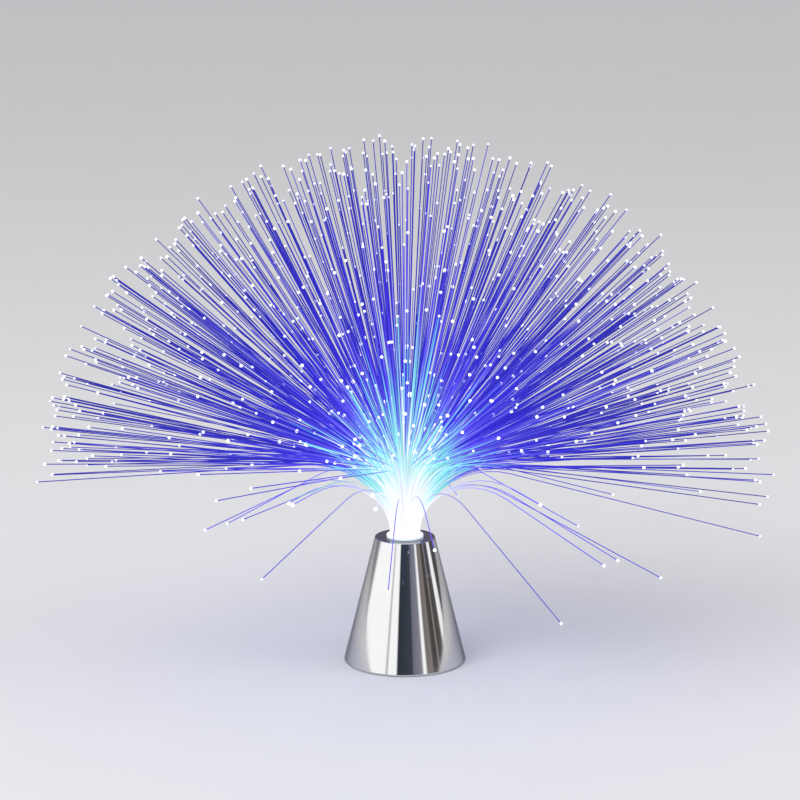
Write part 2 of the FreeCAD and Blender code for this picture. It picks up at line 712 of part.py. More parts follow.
cup = new_body("light_cup")
CUP_INSIDE = f"({SLEEVE_OUTSIDE} + fit_clearance)"
revolve(cup, "cup", [
    ("0", BOARD_TOP),
    (f"{CUP_INSIDE} + cup_wall", BOARD_TOP),
    (f"{CUP_INSIDE} + cup_wall", CUP_TOP),
    (CUP_INSIDE, CUP_TOP),
    (CUP_INSIDE, CUP_FLOOR_TOP),
    ("0", CUP_FLOOR_TOP),
])
ear_sketch = new_sketch(cup, "cup_ear_outline", offset=BOARD_TOP)
for side in LEFT_RIGHT:
    rectangle(ear_sketch, f"{side} * ({CUP_INSIDE} + cup_wall / 2)", "-ear_width / 2",
              f"{side} * (post_spacing / 2 + ear_margin)", "ear_width / 2")
pad(cup, "ears", ear_sketch, "cup_floor")
floor_holes = new_sketch(cup, "floor_hole_outline", offset=BOARD_TOP)
for turn in LED_TURNS:
    circle(floor_holes, f"led_circle * cos({turn})", f"led_circle * sin({turn})", "led_floor_hole")
for side in LEFT_RIGHT:
    circle(floor_holes, f"{side} * post_spacing / 2", "0", "screw_radius + screw_clearance")
pocket(cup, "floor_holes", floor_holes, "cup_floor", upward=True)


# ---- bundle_sleeve: binds the fibres, its collar resting on the cone's flat top ----

sleeve = new_body("bundle_sleeve")
revolve(sleeve, "sleeve", [
    (SLEEVE_INSIDE, SLEEVE_BOTTOM),
    (SLEEVE_OUTSIDE, SLEEVE_BOTTOM),
    (SLEEVE_OUTSIDE, "base_height"),
    (COLLAR_RADIUS, "base_height"),
    (COLLAR_RADIUS, "base_height + collar_height"),
    (SLEEVE_INSIDE, "base_height + collar_height"),
])
round_edges(sleeve, "collar_edge", "collar_height / 3",
            lambda edge: is_ring(edge, COLLAR_RADIUS, "base_height + collar_height"))


# ---- wires: straight runs joined by tangent arcs, along routes chosen by hand ----

def bent_rod(route, radius, bend):
    """Round rod along straight runs with an arc at each corner."""
    edges = []
    last = route[0]
    for before, corner, after in zip(route, route[1:], route[2:]):
        inward = (corner - before).normalize()
        outward = (after - corner).normalize()
        half_turn = inward.getAngle(outward) / 2
        reach = bend * math.tan(half_turn)
        middle = corner + (outward - inward).normalize() * bend * (1 / math.cos(half_turn) - 1)
        start = corner - inward * reach
        end = corner + outward * reach
        edges += [Part.LineSegment(last, start).toShape(), Part.Arc(start, middle, end).toShape()]
        last = end
    edges.append(Part.LineSegment(last, route[-1]).toShape())
    path = Part.Wire(edges)
    ring = Part.Wire([Part.Circle(route[0], route[1] - route[0], radius).toShape()])
    tube = path.makePipeShell([ring], True, False)
    length = sum(edge.Length for edge in path.Edges)
    if abs(tube.Volume / (math.pi * radius ** 2 * length) - 1) > 0.01:
        raise RuntimeError("a wire's volume doesn't match its length")
    return tube


def wires(label, routes):
    thing = doc.addObject("Part::Feature", label)
    radius = value("wire_diameter") / 2
    tubes = [bent_rod([V(*point) for point in route], radius, value("wire_bend")) for route in routes]
    thing.Shape = Part.makeCompound(tubes)
    return node(thing, label)


tag_x = value(f"{BAY_X} + bay_wall + tag_reach / 2")
tag_y = value(CELL_PITCH)
tag_top = value(f"{TAG_Z} + contact_thickness")
pin_top = value(f"{SWITCH_TOP} + terminal_length")
pin_x = value("terminal_spacing")
switch_y = value("switch_place")
board_z = value("board_height")
red_level = value(f"{ROOF_TOP} + 3 * wire_diameter")
black_level = value(f"{ROOF_TOP} + 4 * wire_diameter")
red_end = value("red_solder_x"), value("red_solder_y")
black_end = value("-black_solder_x"), value("-black_solder_y")
wires("red_wires", [
    [(tag_x, tag_y, tag_top), (tag_x, tag_y, red_level), (0, switch_y, red_level), (0, switch_y, pin_top)],
    [(pin_x, switch_y, pin_top), (pin_x, switch_y, red_level), (*red_end, red_level), (*red_end, board_z)],
])
wires("black_wires", [
    [(-tag_x, -tag_y, tag_top), (-tag_x, -tag_y, black_level), (*black_end, black_level), (*black_end, board_z)],
])


# ---- fibre_spray: bound in the sleeve, then fanned out; one fibre in two has a solid ----

def scatter(number, channel):
    """A repeatable share from 0 to 1 for each fibre."""
    wave = math.sin(number * 12.9898 + channel * 78.233) * 43758.5453
    return wave - math.floor(wave)


def bundle_places():
    """Fibre axes in the sleeve, packed in a hexagonal pattern."""
    pitch = value("fibre_pitch")
    reach = value("bundle_radius")
    row_gap = pitch * math.sqrt(0.75)
    rows = int(reach / row_gap) + 1
    columns = int(reach / pitch) + 2
    for j in range(-rows, rows + 1):
        for k in range(-columns, columns + 1):
            x = pitch * (k + 0.5 * (j % 2) + 0.25)
            y = row_gap * (j + 1 / 3)
            if math.hypot(x, y) <= reach:
                yield x, y


LENGTH_BANDS = (  # draws up to here get this least and most share of the full length
    (0.55, 0.94, 1.00),
    (0.76, 0.78, 0.94),
    (0.91, 0.50, 0.78),
    (2.00, 0.25, 0.50),
)
LOOSE_BAND = (0.28, 0.78)
GROWN_BAND = (0.30, 0.70)  # shares of the full length between which the lift sets in


def lean_and_length(number, x, y):
    """Which way a fibre falls, how far from upright it ends and how long it is outside the sleeve."""
    reach = value("bundle_radius")
    loose = 0.4 * value("fibre_pitch") / reach
    u = x / reach
    v = y / reach
    across = u + 0.018 * math.sin(17.6 * v + 0.7) + 0.012 * math.sin(39.8 * u + 19.4 * v)
    along = v + 0.018 * math.sin(15.7 * u + 2.9) + 0.012 * math.sin(34.2 * v - 24.1 * u + 1)
    across += loose * (scatter(number, 1) - 0.5)
    along += loose * (scatter(number, 2) - 0.5)
    out = min(1.04, across ** 2 + along ** 2)
    side = math.atan2(along, across)
    widest = math.radians(value("widest_lean"))
    if out > 0.85 and scatter(number, 5) < value("loose_share"):
        lean = widest + math.radians(value("loose_lean")) * scatter(number, 7)
        least, most = LOOSE_BAND
        return side, lean, value("fibre_length") * (least + (most - least) * scatter(number, 4))
    azimuth = side - value("side_gather") * math.sin(2 * side)
    azimuth += 0.06 * math.sin(4 * side + 1.3) + 0.03 * math.sin(9 * side)
    lean = math.acos(1 - out ** 1.3 * (1 - math.cos(widest)))
    lean *= 1 + (0.05 * math.sin(3 * side + 0.8) + 0.035 * math.sin(7 * side + 2)) * out
    lean = max(lean, math.radians(0.8))
    long = value("fibre_length") - value("side_cut") * math.sin(min(lean, math.pi / 2)) ** 2
    draw = scatter(number, 3) + 0.22 * (1 - out) - 0.07  # the middle has more short ones
    least, most = next(band[1:] for band in LENGTH_BANDS if draw < band[0])
    share = most - (most - least) * scatter(number, 4)
    least, most = GROWN_BAND
    grown = min(1, max(0, share - least) / (most - least))
    lean *= 1 - value("front_lift") * math.sin(side) ** 2 * out * grown
    lean *= 0.90 + 0.10 * grown  # a short fibre droops less
    return azimuth, lean, long * share


def fibre(x, y, azimuth, lean, length):
    """Upright in the sleeve, two arcs that bend it over, then straight to its end."""
    bottom = value(FIBRE_BOTTOM)
    top = value("base_height + collar_height")
    first = min(value("early_bend"), 0.30 * length)
    second = min(value("late_bend"), 0.55 * length)
    turn = value("early_turn") * lean
    first_radius = first / turn
    second_radius = second / (lean - turn)

    def on_first(angle):
        return V(first_radius * (1 - math.cos(angle)), 0, top + first_radius * math.sin(angle))

    def on_second(angle):
        return on_first(turn) + V(second_radius * (math.cos(turn) - math.cos(angle)), 0,
                                  second_radius * (math.sin(angle) - math.sin(turn)))

    tip = on_second(lean) + V(math.sin(lean), 0, math.cos(lean)) * (length - first - second)
    path = Part.Wire([
        Part.LineSegment(V(0, 0, bottom), V(0, 0, top)).toShape(),
        Part.Arc(V(0, 0, top), on_first(turn / 2), on_first(turn)).toShape(),
        Part.Arc(on_first(turn), on_second((turn + lean) / 2), on_second(lean)).toShape(),
        Part.LineSegment(on_second(lean), tip).toShape(),
    ])
    radius = value("fibre_diameter") / 2
    sides = int(value("section_sides"))
    angles = [math.tau * i / sides for i in range(sides + 1)]
    section = Part.makePolygon([V(radius * math.cos(a), radius * math.sin(a), bottom) for a in angles])
    strand = path.makePipeShell([section], True, True)
    strand.Placement = FreeCAD.Placement(V(x, y, 0), FreeCAD.Rotation(V(0, 0, 1), math.degrees(azimuth)))
    return strand


spray = doc.addObject("Part::Feature", "fibre_spray")
step = int(value("fibre_step"))
spray.Shape = Part.makeCompound([
    fibre(x, y, *lean_and_length(number, x, y))
    for number, (x, y) in enumerate(bundle_places()) if number % step == step - 1
])
node(spray, "fibre_spray")


# ---- test and write every piece ----

doc.recompute()
for thing in doc.Objects:
    if "Invalid" in thing.State or "Error" in thing.State:
        raise RuntimeError(f"{thing.Label} failed: {thing.State}")
os.makedirs("parts", exist_ok=True)
for thing in nodes:
    shape = thing.Shape
    if shape.isNull() or not shape.isValid() or not shape.Solids:
        raise RuntimeError(f"{thing.Label} has no valid solid")
    shape.exportStep(os.path.join("parts", thing.Label + ".step"))
    print(f"{thing.Label}: {len(shape.Solids)} solids, {shape.Volume:.1f} mm3")
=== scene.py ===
import math
import bmesh
import bpy
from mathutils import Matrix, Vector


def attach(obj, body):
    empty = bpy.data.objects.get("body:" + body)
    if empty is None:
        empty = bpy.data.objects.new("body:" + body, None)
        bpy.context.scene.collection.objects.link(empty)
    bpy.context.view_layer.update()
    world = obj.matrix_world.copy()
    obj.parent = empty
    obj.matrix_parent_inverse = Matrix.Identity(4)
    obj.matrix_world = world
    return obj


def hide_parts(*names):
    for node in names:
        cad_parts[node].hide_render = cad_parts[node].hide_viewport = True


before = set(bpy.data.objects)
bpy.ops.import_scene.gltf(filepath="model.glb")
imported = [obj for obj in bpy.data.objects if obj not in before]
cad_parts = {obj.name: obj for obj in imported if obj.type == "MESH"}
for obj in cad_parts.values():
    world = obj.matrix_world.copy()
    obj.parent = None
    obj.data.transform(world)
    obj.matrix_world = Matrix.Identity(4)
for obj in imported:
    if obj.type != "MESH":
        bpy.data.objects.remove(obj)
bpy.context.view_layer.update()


# ---- cone shell ----
# The lamp's foot is a cone spun from sheet steel, open below, with a flat ring on top and four
# screw bosses inside. It is polished and chrome plated. Its rim and brow are rounded by the spinning.

MM = 0.001
FOOT_RADIUS, BROW_RADIUS, SHELL_HEIGHT, WALL = 38.4, 18.7, 80.0, 2.0
TOP_HOLE, TOP_THICK = 10.7, 2.0
RIM_ROUND, BROW_ROUND, HOLE_ROUND = 1.2, 0.7, 0.25
BOSS_X, BOSS_Y, BOSS_RADIUS, BOSS_HOLE = 15.62, 24.71, 2.8, 1.2
BOSS_FOOT, BOSS_TOP = 4.8, 23.0
SHELL_STEPS, BOSS_STEPS = 240, 28
SHARP_ANGLE = math.radians(30)


def arc_corner(before, corner, after, radius, steps=8):
    """Points of the arc that rounds a corner of an outline."""
    a = (before[0] - corner[0], before[1] - corner[1])
    b = (after[0] - corner[0], after[1] - corner[1])
    a = (a[0] / math.hypot(*a), a[1] / math.hypot(*a))
    b = (b[0] / math.hypot(*b), b[1] / math.hypot(*b))
    half = math.acos(a[0] * b[0] + a[1] * b[1]) / 2
    middle = (a[0] + b[0], a[1] + b[1])
    reach = radius / math.sin(half) / math.hypot(*middle)
    centre = (corner[0] + middle[0] * reach, corner[1] + middle[1] * reach)
    leg = radius / math.tan(half)
    start = (corner[0] + a[0] * leg - centre[0], corner[1] + a[1] * leg - centre[1])
    end = (corner[0] + b[0] * leg - centre[0], corner[1] + b[1] * leg - centre[1])
    first = math.atan2(start[1], start[0])
    sweep = (math.atan2(end[1], end[0]) - first + math.pi) % math.tau - math.pi
    return [(centre[0] + radius * math.cos(first + sweep * i / steps),
             centre[1] + radius * math.sin(first + sweep * i / steps)) for i in range(steps + 1)]


def turn(shape, outline, steps, centre=(0.0, 0.0)):
    """Turns a closed outline of (radius, height) points about an upright axis, into a bmesh."""
    rings = []
    for radius, height in outline:
        angles = [math.tau * k / steps for k in range(steps)]
        rings.append([shape.verts.new(((centre[0] + radius * math.cos(t)) * MM,
                                       (centre[1] + radius * math.sin(t)) * MM, height * MM)) for t in angles])
    for ring, after in zip(rings, rings[1:] + rings[:1]):
        for k in range(steps):
            shape.faces.new((ring[k], ring[(k + 1) % steps], after[(k + 1) % steps], after[k]))


def finished_piece(name, shape, material):
    """Makes a bmesh an object with outward faces, smooth but for its sharp edges."""
    bmesh.ops.recalc_face_normals(shape, faces=shape.faces)
    for face in shape.faces:
        face.smooth = True
    for edge in shape.edges:
        edge.smooth = edge.calc_face_angle(0.0) < SHARP_ANGLE
    mesh = bpy.data.meshes.new(name)
    shape.to_mesh(mesh)
    shape.free()
    mesh.materials.append(material)
    piece = bpy.data.objects.new(name, mesh)
    bpy.context.scene.collection.objects.link(piece)
    return piece


def add_node(tree, kind, *feeds, **settings):
    """Adds a node; feeds are pairs of an input and a value or another node's output."""
    made = tree.nodes.new(kind)
    for key, setting in settings.items():
        setattr(made, key, setting)
    for place, feed in feeds:
        if isinstance(feed, bpy.types.NodeSocket):
            tree.links.new(feed, made.inputs[place])
        else:
            made.inputs[place].default_value = feed
    return made


def start_finish(name, colour, roughness, metallic=0.0):
    """A new material with its shader's plain values set."""
    finish = bpy.data.materials.new(name)
    finish.use_nodes = True
    tree = finish.node_tree
    shader = tree.nodes["Principled BSDF"]
    shader.inputs["Base Color"].default_value = (*colour, 1)
    shader.inputs["Roughness"].default_value = roughness
    shader.inputs["Metallic"].default_value = metallic
    return finish, tree, shader


def grain(tree, size_mm, detail=3.0, stretch=(1, 1, 1)):
    """Noise from 0 to 1 over the piece, whose marks are about so many millimetres across."""
    place = add_node(tree, "ShaderNodeTexCoord")
    laid = add_node(tree, "ShaderNodeMapping", ("Vector", place.outputs["Object"]), ("Scale", stretch))
    noise = add_node(tree, "ShaderNodeTexNoise", ("Vector", laid.outputs[0]), ("Scale", 1 / (size_mm * MM)),
                     ("Detail", detail))
    return noise.outputs["Fac"]


def spread(tree, share, low, high, start=0.3, end=0.7):
    """Maps a share from 0 to 1 to a range of values."""
    made = add_node(tree, "ShaderNodeMapRange", ("Value", share), ("From Min", start), ("From Max", end),
                    ("To Min", low), ("To Max", high))
    return made.outputs["Result"]


def blend_colours(tree, share, first, second):
    """Mixes two colours, or outputs, by a share."""
    feeds = [feed if isinstance(feed, bpy.types.NodeSocket) else (*feed, 1) for feed in (first, second)]
    made = add_node(tree, "ShaderNodeMix", ("Factor", share), (6, feeds[0]), (7, feeds[1]), data_type="RGBA")
    return made.outputs[2]  # 6 and 7 are the node's colour inputs and 2 its colour output


def join(tree, output, shader, place):
    """Links an output to one of a shader's inputs."""
    tree.links.new(output, shader.inputs[place])


def relief(tree, shader, height, depth_mm, strength):
    """Bumps the surface by a share of a depth."""
    bump = add_node(tree, "ShaderNodeBump", ("Height", height), ("Strength", strength),
                    ("Distance", depth_mm * MM))
    join(tree, bump.outputs["Normal"], shader, "Normal")


chrome, tree, shader = start_finish("polished_chrome", (0.66, 0.66, 0.67), 0.06, 1.0)
smudge = grain(tree, 14, 4.0)
join(tree, spread(tree, smudge, 0.03, 0.09), shader, "Roughness")
plating = blend_colours(tree, grain(tree, 30, 2.0), (0.63, 0.63, 0.64), (0.69, 0.69, 0.69))
join(tree, plating, shader, "Base Color")
shader.inputs["Specular Tint"].default_value = (0.38, 0.38, 0.40, 1)  # chrome's reflection made darker at a grazing angle: painted shade along the cone's outline
relief(tree, shader, grain(tree, 26, 1.0, (1, 1, 0.35)), 0.05, 0.5)

foot_in, brow = (FOOT_RADIUS - WALL, 0.0), (BROW_RADIUS, SHELL_HEIGHT)
foot = (FOOT_RADIUS, 0.0)
slope = (FOOT_RADIUS - BROW_RADIUS) / SHELL_HEIGHT
under_top = SHELL_HEIGHT - TOP_THICK
shell_outline = [foot_in]
shell_outline += arc_corner(foot_in, foot, brow, RIM_ROUND)
shell_outline += arc_corner(foot, brow, (0, SHELL_HEIGHT), BROW_ROUND)
shell_outline += arc_corner(brow, (TOP_HOLE, SHELL_HEIGHT), (TOP_HOLE, under_top), HOLE_ROUND, 3)
shell_outline += [(TOP_HOLE, under_top), (FOOT_RADIUS - WALL - slope * under_top, under_top)]
shape = bmesh.new()
turn(shape, shell_outline, SHELL_STEPS)
boss_outline = [(BOSS_HOLE, BOSS_FOOT), (BOSS_RADIUS, BOSS_FOOT),
                (BOSS_RADIUS, BOSS_TOP), (BOSS_HOLE, BOSS_TOP)]
for i in (-1, 1):
    for j in (-1, 1):
        turn(shape, boss_outline, BOSS_STEPS, (i * BOSS_X, j * BOSS_Y))
cone_shell = finished_piece("cone_shell", shape, chrome)
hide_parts("base_shell")
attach(cone_shell, "base")


# ---- bottom plate and battery door ----
# Both are moulded in black plastic with a fine spark-eroded texture. The plate carries the battery bay
# and the board's posts. The door turns on two moulded pins, and shallow grooves give a thumb grip.

def dress(material, *names):
    """Gives a finish to pieces of the frame as they are."""
    for name in names:
        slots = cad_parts[name].data.materials
        slots.clear()
        slots.append(material)


moulded_black, tree, shader = start_finish("moulded_black", (0.03, 0.03, 0.032), 0.5)
cloud = grain(tree, 9, 4.0)
join(tree, blend_colours(tree, cloud, (0.022, 0.022, 0.024), (0.042, 0.042, 0.044)), shader, "Base Color")
join(tree, spread(tree, cloud, 0.42, 0.58), shader, "Roughness")
relief(tree, shader, grain(tree, 0.35, 2.0), 0.03, 0.6)
dress(moulded_black, "bottom_plate", "battery_door")


# ---- screws, switch case ----
# Pan-head screws of zinc-plated steel hold the plate, door, board and switch. The switch's case is
# folded from the same bright sheet. Plating leaves a faint mottle and fine turning marks.

zinc_steel, tree, shader = start_finish("zinc_plated_steel", (0.60, 0.60, 0.61), 0.3, 1.0)
mottle = grain(tree, 1.6, 4.0)
join(tree, blend_colours(tree, mottle, (0.50, 0.50, 0.50), (0.68, 0.68, 0.69)), shader, "Base Color")
join(tree, spread(tree, mottle, 0.22, 0.42), shader, "Roughness")
relief(tree, shader, grain(tree, 0.3, 2.0, (1, 6, 1)), 0.01, 0.5)
dress(zinc_steel, "plate_screws", "door_screw", "board_screws", "switch_screws", "switch_body")


# ---- battery cells ----
# Three small cylindrical cells lie side by side, the middle one turned round. Each has a steel can in a
# shrunk plastic sleeve: dark grey, with a lighter band at its plus end, and bare metal at both ends.

def ramp(tree, share, stops, mode="LINEAR"):
    """A colour ramp through (place, colour) stops."""
    made = add_node(tree, "ShaderNodeValToRGB", ("Fac", share))
    band = made.color_ramp
    band.interpolation = mode
    while len(band.elements) > 1:
        band.elements.remove(band.elements[-1])
    band.elements[0].position = stops[0][0]
    band.elements[0].color = (*stops[0][1], 1)
    for place, colour in stops[1:]:
        band.elements.new(place).color = (*colour, 1)
    return made.outputs["Color"]


def math_node(tree, operation, first, second=0.0, third=0.0):
    """One step of sums."""
    made = add_node(tree, "ShaderNodeMath", (0, first), (1, second), (2, third), operation=operation)
    return made.outputs[0]


def object_axes(tree):
    """The piece's own X, Y and Z, in metres."""
    place = add_node(tree, "ShaderNodeTexCoord")
    return add_node(tree, "ShaderNodeSeparateXYZ", ("Vector", place.outputs["Object"])).outputs


CELL_PITCH = 10.8
CELL_MINUS, CELL_PLUS = -22, 23  # just past a cell's flat end and its nub
JACKET_START, BAND_START, NUB_START = 0.02, 0.74, 0.955  # where each colour starts, as a share from end to end

cell_jacket, tree, shader = start_finish("cell_jacket", (0.1, 0.1, 0.11), 0.3)
axes = object_axes(tree)
middle_cell = math_node(tree, "LESS_THAN", math_node(tree, "ABSOLUTE", axes["Y"]), CELL_PITCH / 2 * MM)
way = math_node(tree, "MULTIPLY_ADD", middle_cell, -2.0, 1.0)
along = math_node(tree, "MULTIPLY", axes["X"], way)
share = spread(tree, along, 0.0, 1.0, CELL_MINUS * MM, CELL_PLUS * MM)
jacket = ramp(tree, share, [
    (0.0, (0.55, 0.55, 0.54)), (JACKET_START, (0.035, 0.037, 0.042)), (BAND_START, (0.42, 0.43, 0.44)),
    (NUB_START, (0.62, 0.61, 0.58)),
], "CONSTANT")
scuffed = blend_colours(tree, spread(tree, grain(tree, 4, 4.0), 0.0, 0.12), jacket, (0.5, 0.5, 0.5))
join(tree, scuffed, shader, "Base Color")
metal_ends = ramp(tree, share, [
    (0.0, (1, 1, 1)), (JACKET_START, (0, 0, 0)), (NUB_START, (1, 1, 1)),
], "CONSTANT")
join(tree, metal_ends, shader, "Metallic")
join(tree, spread(tree, grain(tree, 3, 3.0), 0.22, 0.4), shader, "Roughness")
dress(cell_jacket, "battery_cells")


# ---- battery contacts ----
# Leaf springs and pips are stamped from thin nickel-plated spring steel, one strip to each end.
# The plating is brighter than the screws' and shows the rolling direction as faint lines.

nickel, tree, shader = start_finish("nickel_plate", (0.72, 0.70, 0.66), 0.25, 1.0)
rolled = grain(tree, 0.5, 3.0, (1, 1, 12))
join(tree, blend_colours(tree, rolled, (0.64, 0.62, 0.57), (0.78, 0.76, 0.71)), shader, "Base Color")
join(tree, spread(tree, rolled, 0.18, 0.34), shader, "Roughness")
dress(nickel, "negative_contact", "positive_contact", "link_contacts")


# ---- switch knob and terminals ----
# The knob is black nylon, a little shinier than the plate, and slides in a slot in the plate.
# The terminals and the lights' leads are tinned wire and strip, dull where the solder has run.

nylon_black, tree, shader = start_finish("knob_nylon", (0.05, 0.05, 0.055), 0.34)
rubbed = grain(tree, 1.2, 4.0)
join(tree, blend_colours(tree, rubbed, (0.035, 0.035, 0.04), (0.075, 0.075, 0.08)), shader, "Base Color")
join(tree, spread(tree, rubbed, 0.28, 0.46), shader, "Roughness")
relief(tree, shader, grain(tree, 0.25, 2.0), 0.015, 0.5)
dress(nylon_black, "switch_slider")

tinned, tree, shader = start_finish("tinned_metal", (0.70, 0.70, 0.68), 0.36, 1.0)
dull = grain(tree, 0.8, 4.0)
join(tree, blend_colours(tree, dull, (0.56, 0.56, 0.54), (0.78, 0.78, 0.76)), shader, "Base Color")
join(tree, spread(tree, dull, 0.26, 0.5), shader, "Roughness")
dress(tinned, "switch_terminals", "led_leads")


# ---- circuit board, chip and resistors ----
# The board is glass-fibre laminate under green lacquer, with copper tracks that show through as lighter
# lines. The chip is black moulded resin on tinned legs, and the resistors have tinned end caps.

CHIP_PLACE, CHIP_HALF = 17, 2.0
RESISTOR_PITCH, CAP_START = 4.5, 1.15

lacquer, tree, shader = start_finish("green_lacquer", (0.02, 0.16, 0.07), 0.32)
place = add_node(tree, "ShaderNodeTexCoord")
tracks = add_node(tree, "ShaderNodeTexBrick", ("Vector", place.outputs["Object"]), ("Scale", 120.0),
                  ("Color1", (0.012, 0.11, 0.045, 1)), ("Color2", (0.02, 0.17, 0.07, 1)),
                  ("Mortar", (0.05, 0.28, 0.11, 1)), ("Mortar Size", 0.05))
weave = spread(tree, grain(tree, 0.6, 2.0), 0.0, 0.25)
woven = blend_colours(tree, weave, tracks.outputs["Color"], (0.03, 0.2, 0.09))
join(tree, woven, shader, "Base Color")
join(tree, spread(tree, grain(tree, 5, 3.0), 0.24, 0.4), shader, "Roughness")
relief(tree, shader, tracks.outputs["Fac"], 0.04, 0.5)
dress(lacquer, "circuit_board")

chip_resin, tree, shader = start_finish("chip_resin", (0.025, 0.025, 0.028), 0.6)
axes = object_axes(tree)
off_middle = math_node(tree, "ABSOLUTE", math_node(tree, "ADD", axes["Y"], CHIP_PLACE * MM))
leg = math_node(tree, "GREATER_THAN", off_middle, CHIP_HALF * MM)
speckle = blend_colours(tree, grain(tree, 0.5, 4.0), (0.018, 0.018, 0.02), (0.04, 0.04, 0.043))
join(tree, blend_colours(tree, leg, speckle, (0.68, 0.68, 0.66)), shader, "Base Color")
join(tree, leg, shader, "Metallic")
join(tree, spread(tree, grain(tree, 0.6, 3.0), 0.5, 0.7), shader, "Roughness")
dress(chip_resin, "control_chip")

resistor_glaze, tree, shader = start_finish("resistor_glaze", (0.02, 0.02, 0.024), 0.3)
axes = object_axes(tree)
shifted = math_node(tree, "ADD", axes["X"], 3.5 * RESISTOR_PITCH * MM)
folded = math_node(tree, "MODULO", shifted, RESISTOR_PITCH * MM)
off_middle = math_node(tree, "ABSOLUTE", math_node(tree, "SUBTRACT", folded, RESISTOR_PITCH / 2 * MM))
cap = math_node(tree, "GREATER_THAN", off_middle, CAP_START * MM)
glaze = blend_colours(tree, grain(tree, 0.7, 3.0), (0.014, 0.014, 0.018), (0.03, 0.03, 0.035))
join(tree, blend_colours(tree, cap, glaze, (0.7, 0.7, 0.68)), shader, "Base Color")
join(tree, cap, shader, "Metallic")
join(tree, spread(tree, grain(tree, 0.5, 3.0), 0.24, 0.4), shader, "Roughness")
dress(resistor_glaze, "resistors")


# ---- three lights ----
# Five-millimetre light-emitting diodes in red, green and blue: coloured epoxy cast round the die.
# They glow brightest in the dome, where the epoxy focuses the light up into the bundle.

LIGHT_FOOT, LIGHT_TOP = 29.4, 38

for colour_name, body_colour, glow in (("red", (0.75, 0.05, 0.04), (1.0, 0.12, 0.07)),
                                       ("green", (0.06, 0.65, 0.14), (0.12, 1.0, 0.25)),
                                       ("blue", (0.04, 0.10, 0.80), (0.10, 0.25, 1.0))):
    epoxy, tree, shader = start_finish("epoxy_" + colour_name, body_colour, 0.12)
    axes = object_axes(tree)
    rise = spread(tree, axes["Z"], 0.0, 1.0, LIGHT_FOOT * MM, LIGHT_TOP * MM)
    cloud = grain(tree, 1.5, 3.0)
    cloudy = blend_colours(tree, cloud, tuple(c * 0.85 for c in body_colour), body_colour)
    join(tree, cloudy, shader, "Base Color")
    glowing = ramp(tree, rise, [(place, tuple(c * strength for c in glow))
                                for place, strength in ((0.0, 0.15), (0.55, 0.5), (1.0, 1.0))])
    join(tree, glowing, shader, "Emission Color")
    shader.inputs["Emission Strength"].default_value = 1.0
    join(tree, spread(tree, cloud, 0.08, 0.16), shader, "Roughness")
    dress(epoxy, "led_" + colour_name)


# ---- light cup ----
# White moulded cup that holds the lights and the sleeve's foot and throws stray light upwards.
# It is plain glossy plastic with the faint haze of a matt mould.

cup_white, tree, shader = start_finish("cup_white", (0.85, 0.86, 0.88), 0.35)
haze = grain(tree, 6, 3.0)
join(tree, blend_colours(tree, haze, (0.80, 0.82, 0.84), (0.88, 0.89, 0.90)), shader, "Base Color")
join(tree, spread(tree, haze, 0.3, 0.42), shader, "Roughness")
relief(tree, shader, grain(tree, 0.4, 2.0), 0.01, 0.4)
dress(cup_white, "light_cup")


# ---- sleeve ----
# Milky plastic tube that binds the fibres. Its collar rests on the cone's flat top.
# Light leaks from the bundle into the plastic, so the collar glows, most of all towards the fibres.

SLEEVE_IN, SLEEVE_OUT, SLEEVE_FOOT, SLEEVE_TOP = 9.6, 10.5, 44.0, 81.5
COLLAR_RADIUS, COLLAR_ROUND, BORE_ROUND = 11.5, 0.5, 0.2
SLEEVE_STEPS = 128

milky, tree, shader = start_finish("milky_sleeve", (0.86, 0.89, 0.92), 0.35)
axes = object_axes(tree)
flat = add_node(tree, "ShaderNodeCombineXYZ", ("X", axes["X"]), ("Y", axes["Y"]))
off_axis = add_node(tree, "ShaderNodeVectorMath", (0, flat.outputs[0]), operation="LENGTH").outputs["Value"]
outward = spread(tree, off_axis, 0.0, 1.0, SLEEVE_IN * MM, COLLAR_RADIUS * MM)
wisps = grain(tree, 5, 3.0)
join(tree, blend_colours(tree, wisps, (0.80, 0.85, 0.90), (0.88, 0.90, 0.93)), shader, "Base Color")
leaked = ramp(tree, outward, [(0.0, (0.90, 0.98, 1.0)), (0.5, (0.72, 0.80, 0.83)), (1.0, (0.42, 0.47, 0.50))])
join(tree, leaked, shader, "Emission Color")
shader.inputs["Emission Strength"].default_value = 0.8
join(tree, spread(tree, wisps, 0.3, 0.42), shader, "Roughness")

collar_top = (COLLAR_RADIUS, SLEEVE_TOP)
sleeve_outline = [(SLEEVE_IN, SLEEVE_FOOT), (SLEEVE_OUT, SLEEVE_FOOT), (SLEEVE_OUT, SHELL_HEIGHT),
                  (COLLAR_RADIUS, SHELL_HEIGHT)]
bore_top = (SLEEVE_IN, SLEEVE_TOP)
sleeve_outline += arc_corner((COLLAR_RADIUS, SHELL_HEIGHT), collar_top, bore_top, COLLAR_ROUND, 6)
sleeve_outline += arc_corner(collar_top, bore_top, (SLEEVE_IN, SLEEVE_FOOT), BORE_ROUND, 3)
shape = bmesh.new()
turn(shape, sleeve_outline, SLEEVE_STEPS)
sleeve = finished_piece("binding_sleeve", shape, milky)
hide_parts("bundle_sleeve")
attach(sleeve, "base")


# ---- wires ----
# Thin stranded leads with soft plastic insulation, red for plus and black for minus, soldered to the
# contacts, the switch and the board. The insulation is satin, with slight handling marks.

